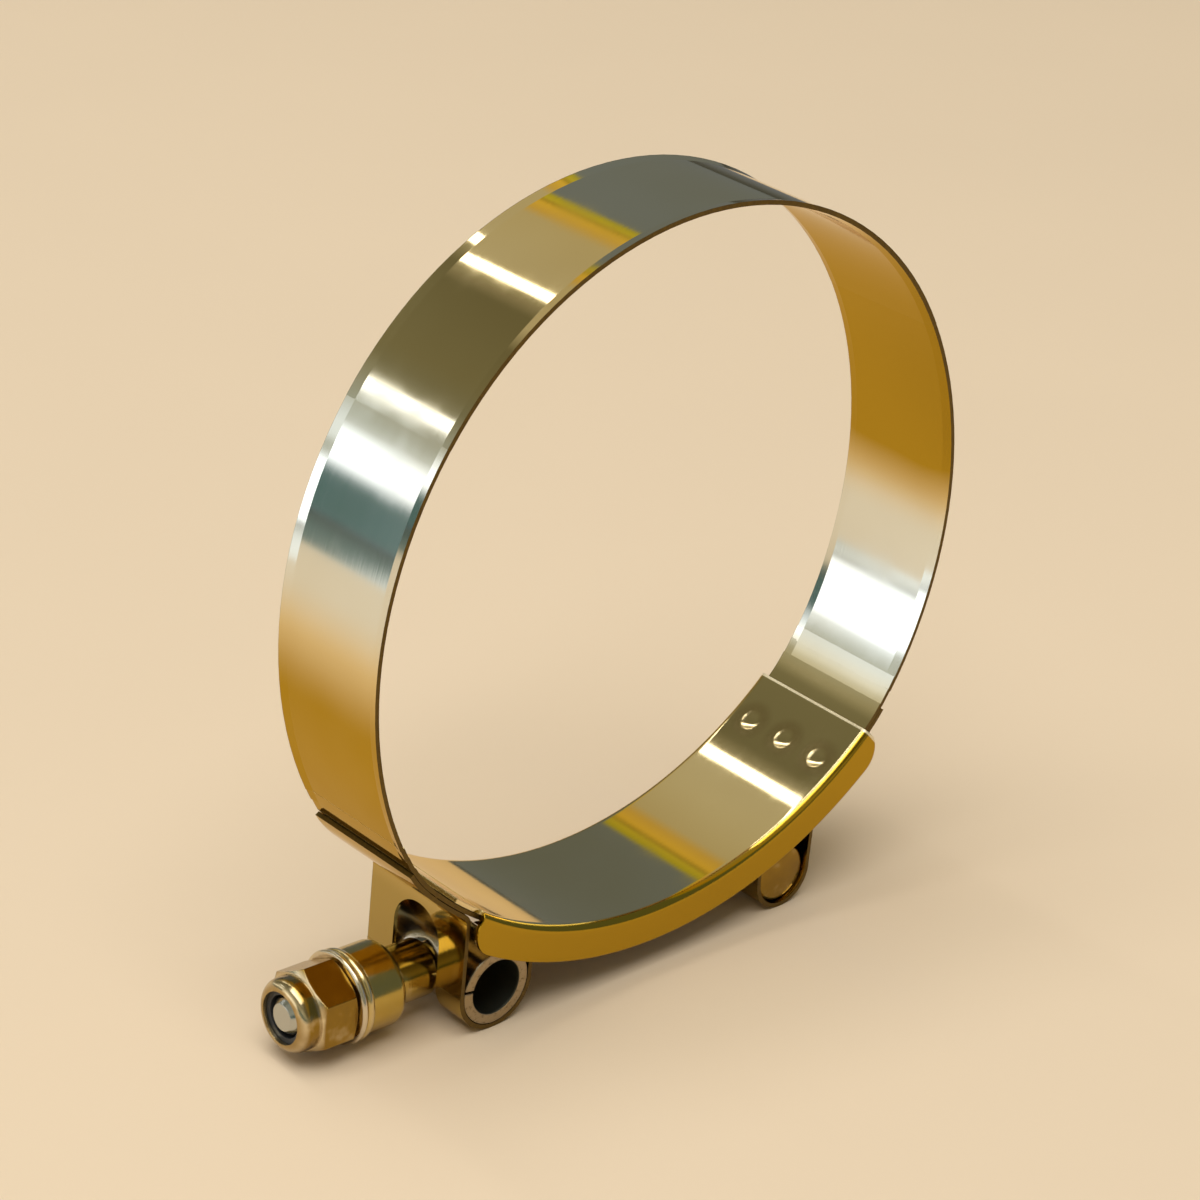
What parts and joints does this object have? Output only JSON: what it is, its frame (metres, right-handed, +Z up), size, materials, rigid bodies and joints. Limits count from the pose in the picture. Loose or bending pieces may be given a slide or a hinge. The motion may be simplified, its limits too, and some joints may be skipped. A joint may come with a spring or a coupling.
{
  "type": "t bolt clamp",
  "caption": "Hose clamp: a plated spring band folded into loops, a bridge over the gap, and a T-bolt with a trunnion, sleeve and lock nut that draws the loops together.",
  "frame": {"origin": "centre of the round seat, at half the band's width", "axes": "+Z up, +Y along the seat's axis and away from the viewer of the front, +X from the nut towards the cross bar"},
  "size_m": [0.0996, 0.0202, 0.1018],
  "materials": {
    "gold_steel": "mirror polished steel strip with a gold tint",
    "plated_steel": "turned steel with a gold plating",
    "bare_steel": "bright steel with a faint gold tint",
    "nylon": "dark moulded plastic"
  },
  "bodies": {
    "clamp": {"band": "gold_steel", "bridge": "gold_steel", "t_bolt": "plated_steel", "trunnion": "bare_steel"},
    "follower": {"sleeve": "plated_steel", "thrust_washer": "bare_steel"},
    "nut": {"lock_nut": "plated_steel", "lock_ring": "nylon"}
  },
  "joints": [
    {"name": "nut_feed", "type": "slide", "parent": "clamp", "child": "follower", "axis": [-0.9998, 0, 0.0202], "range_m": [0, 0.0075]},
    {"name": "nut_turn", "type": "hinge", "parent": "follower", "child": "nut", "pos_m": [-0.0258, 0, -0.04931], "axis": [-0.9998, 0, 0.0202], "range_deg": [0, 2700.01]}
  ],
  "couplings": [
    {"joint": "nut_turn", "follows": "nut_feed", "rad_per_m": 6283.2}
  ]
}
